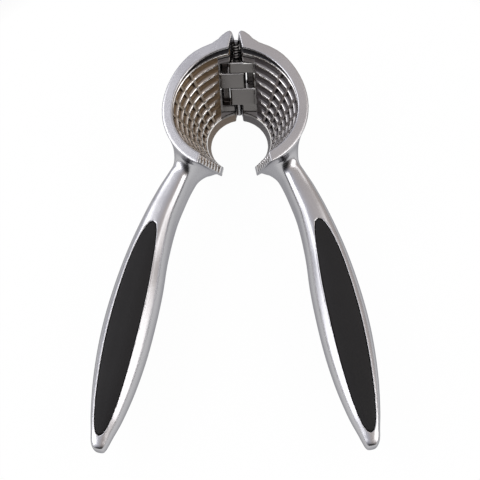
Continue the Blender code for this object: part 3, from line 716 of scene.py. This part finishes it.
def makeSpringTree():
    # a spiral of round wire with a straight leg at each end
    tree = newGroup("woundSpring", [
        ("Turns", "NodeSocketFloat", 4.5), ("Coil Radius", "NodeSocketFloat", 0.0016),
        ("Coil Height", "NodeSocketFloat", 0.005), ("Wire Radius", "NodeSocketFloat", 0.0003),
        ("Leg Length", "NodeSocketFloat", 0.0036), ("Wire Sides", "NodeSocketInt", 12)],
        [("Geometry", "NodeSocketGeometry")], "GeometryNodeTree")
    start = addNode(tree, "NodeGroupInput", -900, 0)
    end = addNode(tree, "NodeGroupOutput", 900, 0)
    spiral = addNode(tree, "GeometryNodeCurveSpiral", -500, 200)
    spiral.inputs["Resolution"].default_value = 40
    spiral.inputs["Reverse"].default_value = True
    join(tree, start.outputs["Turns"], spiral.inputs["Rotations"])
    join(tree, start.outputs["Coil Radius"], spiral.inputs["Start Radius"])
    join(tree, start.outputs["Coil Radius"], spiral.inputs["End Radius"])
    join(tree, start.outputs["Coil Height"], spiral.inputs["Height"])
    parts = [spiral.outputs["Curve"]]
    negative = maths(tree, "MULTIPLY", start.outputs["Coil Radius"], -1.0, -700, -100)
    for index, (x, z) in enumerate(((start.outputs["Coil Radius"], None),
                                    (negative, start.outputs["Coil Height"]))):
        corners = []
        for reach in (None, start.outputs["Leg Length"]):
            corner = addNode(tree, "ShaderNodeCombineXYZ", -500, -100 - 300 * index)
            join(tree, x, corner.inputs["X"])
            if reach is not None:
                join(tree, reach, corner.inputs["Y"])
            if z is not None:
                join(tree, z, corner.inputs["Z"])
            corners.append(corner.outputs["Vector"])
        leg = addNode(tree, "GeometryNodeCurvePrimitiveLine", -250, -100 - 300 * index)
        join(tree, corners[0], leg.inputs["Start"])
        join(tree, corners[1], leg.inputs["End"])
        parts.append(leg.outputs["Curve"])
    together = addNode(tree, "GeometryNodeJoinGeometry", 0, 0)
    for part in parts:
        join(tree, part, together.inputs["Geometry"])
    ring = addNode(tree, "GeometryNodeCurvePrimitiveCircle", 0, -250)
    join(tree, start.outputs["Wire Sides"], ring.inputs["Resolution"])
    join(tree, start.outputs["Wire Radius"], ring.inputs["Radius"])
    sweep = addNode(tree, "GeometryNodeCurveToMesh", 200, 0)
    sweep.inputs["Fill Caps"].default_value = True
    join(tree, together.outputs["Geometry"], sweep.inputs["Curve"])
    join(tree, ring.outputs["Curve"], sweep.inputs["Profile Curve"])
    real = addNode(tree, "GeometryNodeRealizeInstances", 420, 0)
    join(tree, sweep.outputs["Mesh"], real.inputs["Geometry"])
    paint = addNode(tree, "GeometryNodeSetMaterial", 640, 0)
    paint.inputs["Material"].default_value = springSteel
    join(tree, real.outputs["Geometry"], paint.inputs["Geometry"])
    join(tree, paint.outputs["Geometry"], end.inputs["Geometry"])
    return tree


def madeByNodes(name, tree, values, matrix):
    # run a node tree on an empty mesh and keep the result as a plain mesh
    holder = bpy.data.objects.new(name, bpy.data.meshes.new(name))
    bpy.context.scene.collection.objects.link(holder)
    modifier = holder.modifiers.new("nodes", "NODES")
    modifier.node_group = tree
    sockets = {item.name: item.identifier for item in tree.interface.items_tree if item.in_out == "INPUT"}
    for label, value in values.items():
        modifier[sockets[label]] = value
    evaluated = holder.evaluated_get(bpy.context.evaluated_depsgraph_get())
    mesh = bpy.data.meshes.new_from_object(evaluated)
    holder.modifiers.remove(modifier)
    holder.data = mesh
    mesh.name = name
    mesh.transform(matrix)
    mesh.shade_smooth()
    mesh.set_sharp_from_angle(angle=math.radians(sharpSteel))
    return holder


spring = madeByNodes("openingSpring", makeSpringTree(), {
    "Turns": springLook["turns"], "Coil Radius": springLook["radius"],
    "Coil Height": springLook["end"] - springLook["start"], "Wire Radius": springLook["wire"],
    "Leg Length": springLook["leg"], "Wire Sides": springLook["sides"],
}, pinFrame @ Matrix.Translation((0, 0, springLook["start"])))
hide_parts("opening_spring")
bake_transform(spring)
print("pin and spring done")


# floor, light and camera

# the far colour is a painted falloff of light on the paper
floorLook = {
    "size": 6.0, "white": (0.94, 0.94, 0.94), "far": (0.30, 0.30, 0.31), "glow": 0.97, "rough": 0.9,
    "whiteReach": 0.15, "farReach": 0.30,
}
studio = {
    "leftSky": (0.78, 0.78, 0.85), "rightSky": (0.68, 0.62, 0.59), "skyTurn": (-0.35, 0.35),
    "frontLevel": 0.03, "level": 1.0, "frontTurn": (-0.72, -0.34),
}
lampAim = Vector((0, 0, 0.02))
lamps = [
    {"name": "leftSoftbox", "place": (-0.55, -0.065, 0.34), "size": (0.37, 0.64), "power": 1.55},
    {"name": "rightSoftbox", "place": (0.55, -0.065, 0.34), "size": (0.37, 0.64), "power": 1.55},
    {"name": "leftBackSoftbox", "place": (-0.46, 0.32, 0.50), "size": (0.36, 0.36), "power": 0.95},
    {"name": "rightBackSoftbox", "place": (0.44, 0.30, 0.59), "size": (0.36, 0.26), "power": 0.35},
]


def makeFloor():
    # white paper, with a painted falloff to grey far from the part, that glows for the camera and in reflections
    bm = bmesh.new()
    bmesh.ops.create_grid(bm, x_segments=1, y_segments=1, size=floorLook["size"] / 2)
    mesh = bpy.data.meshes.new("paperFloor")
    bm.to_mesh(mesh)
    bm.free()
    floor = bpy.data.objects.new("paperFloor", mesh)
    bpy.context.scene.collection.objects.link(floor)
    material, tree, shader = newMaterial("whitePaper")
    shader.inputs["Roughness"].default_value = floorLook["rough"]
    place = addNode(tree, "ShaderNodeTexCoord", -1300, 0)
    middle = addNode(tree, "ShaderNodeVectorMath", -1100, 0, operation="LENGTH")
    join(tree, place.outputs["Object"], middle.inputs[0])
    reaches = floorLook["whiteReach"], floorLook["farReach"]
    away = remap(tree, middle.outputs["Value"], *reaches, 0.0, 1.0, -900, 0)
    paper = blendColours(tree, away, floorLook["white"], floorLook["far"], -700, 0)
    join(tree, paper, shader.inputs["Base Color"])
    glow = addNode(tree, "ShaderNodeEmission", -200, -300)
    glowColour = blendColours(tree, away, (1.0, 1.0, 1.0), floorLook["far"], -500, -300)
    join(tree, glowColour, glow.inputs["Color"])
    glow.inputs["Strength"].default_value = 1.0
    path = addNode(tree, "ShaderNodeLightPath", -700, 300)
    seen = maths(tree, "MAXIMUM", path.outputs["Is Camera Ray"], path.outputs["Is Glossy Ray"], -500, 300)
    seen = maths(tree, "MAXIMUM", seen, path.outputs["Is Transmission Ray"], -350, 300)
    share = maths(tree, "MULTIPLY", seen, floorLook["glow"], -200, 300)
    both = addNode(tree, "ShaderNodeMixShader", 300, 100)
    join(tree, share, both.inputs[0])
    join(tree, shader.outputs["BSDF"], both.inputs[1])
    join(tree, glow.outputs["Emission"], both.inputs[2])
    join(tree, both.outputs["Shader"], tree.nodes["Material Output"].inputs["Surface"])
    mesh.materials.append(material)


def makeWorld():
    # cool light from the left, warmer and dimmer from the right, and a dark room behind the camera
    world = bpy.data.worlds.new("studioWorld")
    bpy.context.scene.world = world
    world.use_nodes = True
    tree = world.node_tree
    direction = addNode(tree, "ShaderNodeTexCoord", -900, 0)
    split = addNode(tree, "ShaderNodeSeparateXYZ", -700, 0)
    join(tree, direction.outputs["Generated"], split.inputs["Vector"])
    side = remap(tree, split.outputs["X"], *studio["skyTurn"], 0.0, 1.0, -500, 100)
    tint = blendColours(tree, side, studio["leftSky"], studio["rightSky"], -300, 100)
    levels = studio["frontLevel"], studio["level"]
    level = remap(tree, split.outputs["Y"], *studio["frontTurn"], *levels, -500, -200)
    back = tree.nodes["Background"]
    join(tree, tint, back.inputs["Color"])
    join(tree, level, back.inputs["Strength"])


def makeLamps():
    for lamp in lamps:
        light = bpy.data.lights.new(lamp["name"], "AREA")
        light.shape = "RECTANGLE"
        light.size, light.size_y = lamp["size"]
        light.energy = lamp["power"]
        holder = bpy.data.objects.new(lamp["name"], light)
        bpy.context.scene.collection.objects.link(holder)
        place = Vector(lamp["place"])
        turn = (lampAim - place).to_track_quat("-Z", "Y").to_matrix().to_4x4()
        holder.matrix_world = Matrix.Translation(place) @ turn


# the camera's place from the middle of the shut cup's rim, and its axes
cameraView = {
    "lens": 150, "sensor": 36, "nearest": 0.01, "place": (0.04026, -0.38538, 0.66758),
    "right": (0.99856, 0.00706, -0.05306), "up": (0.01696, 0.89877, 0.43813),
    "back": (0.0508, -0.4384, 0.8974),
}


def makeCamera():
    data = bpy.data.cameras.new("photoCamera")
    data.lens = cameraView["lens"]
    data.sensor_width = cameraView["sensor"]
    data.clip_start = cameraView["nearest"]
    camera = bpy.data.objects.new("photoCamera", data)
    bpy.context.scene.collection.objects.link(camera)
    axes = Matrix((cameraView["right"], cameraView["up"], cameraView["back"])).transposed().to_4x4()
    camera.matrix_world = Matrix.Translation(Vector(cameraView["place"]) + rimMiddle) @ axes
    bpy.context.scene.camera = camera


makeFloor()
makeWorld()
makeLamps()
makeCamera()
bpy.context.scene.view_settings.view_transform = "Standard"
print("floor, light and camera done")
